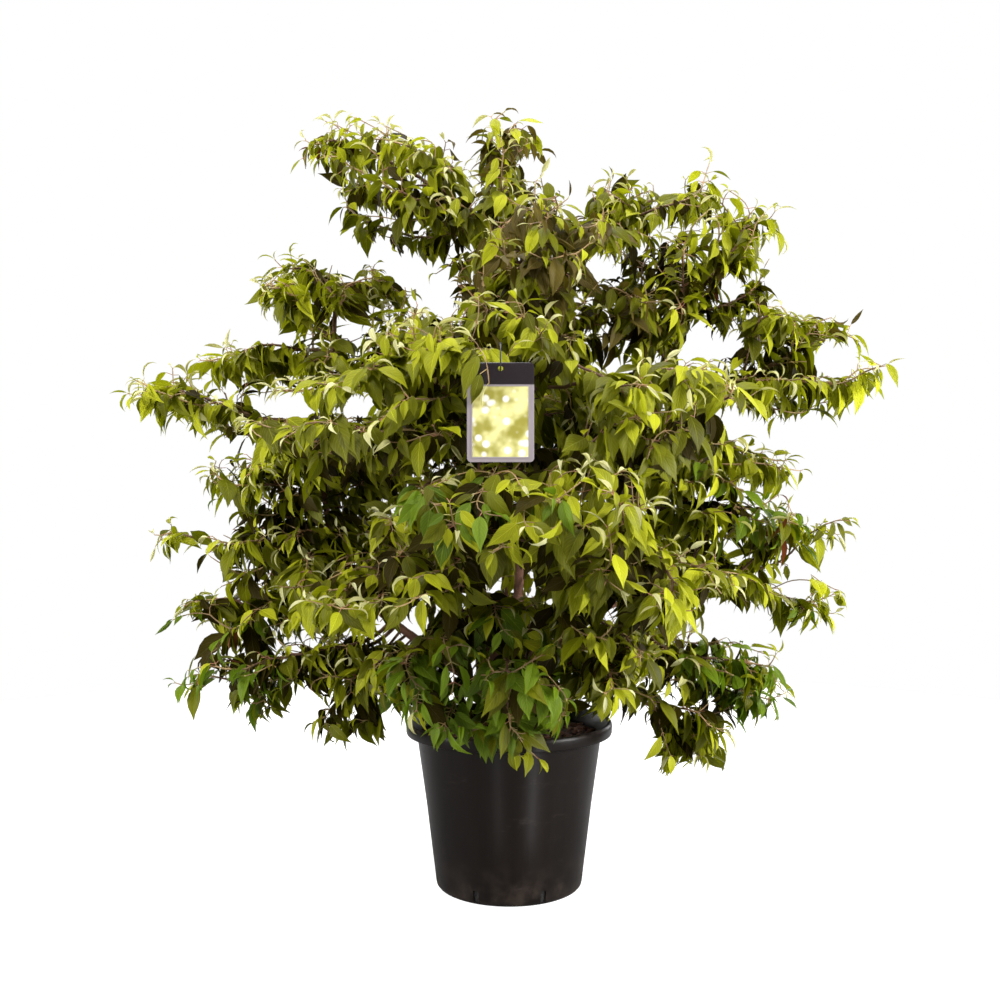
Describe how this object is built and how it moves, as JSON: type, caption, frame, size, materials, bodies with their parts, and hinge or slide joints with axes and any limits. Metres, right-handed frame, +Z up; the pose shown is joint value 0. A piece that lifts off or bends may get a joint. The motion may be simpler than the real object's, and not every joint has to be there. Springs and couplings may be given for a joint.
{
  "type": "snowball viburnum shrub in a nursery pot",
  "caption": "Broad, tiered garden shrub in full leaf with drooping pointed leaves, standing in a round plastic nursery pot of compost, with a plain hanging tag.",
  "frame": {"origin": "centre of the pot's flat underside, which stands on the floor", "axes": "+Z up; -Y is the side that the picture shows; +X is to the right as seen from there"},
  "size_m": [1.8339, 1.4048, 1.8555],
  "materials": {
    "leaves": "soft satin leaf green, from yellow-green at the shoot tips to dark green inside",
    "bark": "thin reddish-brown bark with pale pores",
    "compost": "crumbled dark peat and bark",
    "pot": "black moulded plastic with a soft sheen",
    "tag": "thin glossy plastic sheet with a plain soft pattern",
    "strap": "thin black plastic strap"
  },
  "bodies": {
    "root": {"bough_back_low_left": "bark", "bough_back_low_right": "bark", "bough_bottom_left_reach": "bark", "bough_bottom_right_reach": "bark", "bough_far_left": "bark", "bough_front_low_left": "bark", "bough_front_low_right": "bark", "bough_left_lower": "bark", "bough_right_drop": "bark", "bough_right_reach": "bark", "bough_rim_spray": "bark", "bough_top_left": "bark", "bough_top_right": "bark", "compost": "compost", "leaves_back_left": "leaves", "leaves_back_low_left": "leaves", "leaves_back_low_right": "leaves", "leaves_back_right": "leaves", "leaves_back_rim": "leaves", "leaves_back_upper": "leaves", "leaves_bottom_left": "leaves", "leaves_bottom_left_reach": "leaves", "leaves_bottom_right": "leaves", "leaves_bottom_right_reach": "leaves", "leaves_crown_top": "leaves", "leaves_far_left": "leaves", "leaves_front_left": "leaves", "leaves_front_low_left": "leaves", "leaves_front_low_right": "leaves", "leaves_front_mid": "leaves", "leaves_front_right": "leaves", "leaves_front_upper": "leaves", "leaves_left_drop": "leaves", "leaves_left_inner": "leaves", "leaves_left_lower": "leaves", "leaves_left_mid": "leaves", "leaves_left_peak": "leaves", "leaves_mid_core": "leaves", "leaves_right_drop": "leaves", "leaves_right_lower": "leaves", "leaves_right_mid": "leaves", "leaves_right_reach": "leaves", "leaves_right_shoulder": "leaves", "leaves_rim_spray": "leaves", "leaves_top_back": "leaves", "leaves_top_front": "leaves", "leaves_top_left": "leaves", "leaves_top_right": "leaves", "leaves_upper_heart": "leaves", "leaves_upper_left": "leaves", "leaves_upper_right": "leaves", "main_stem": "bark", "pot": "pot", "stem_back": "bark", "stem_centre": "bark", "stem_front": "bark", "stem_left": "bark", "stem_right": "bark", "tag": "tag", "tag_loop": "strap"}
  },
  "joints": []
}
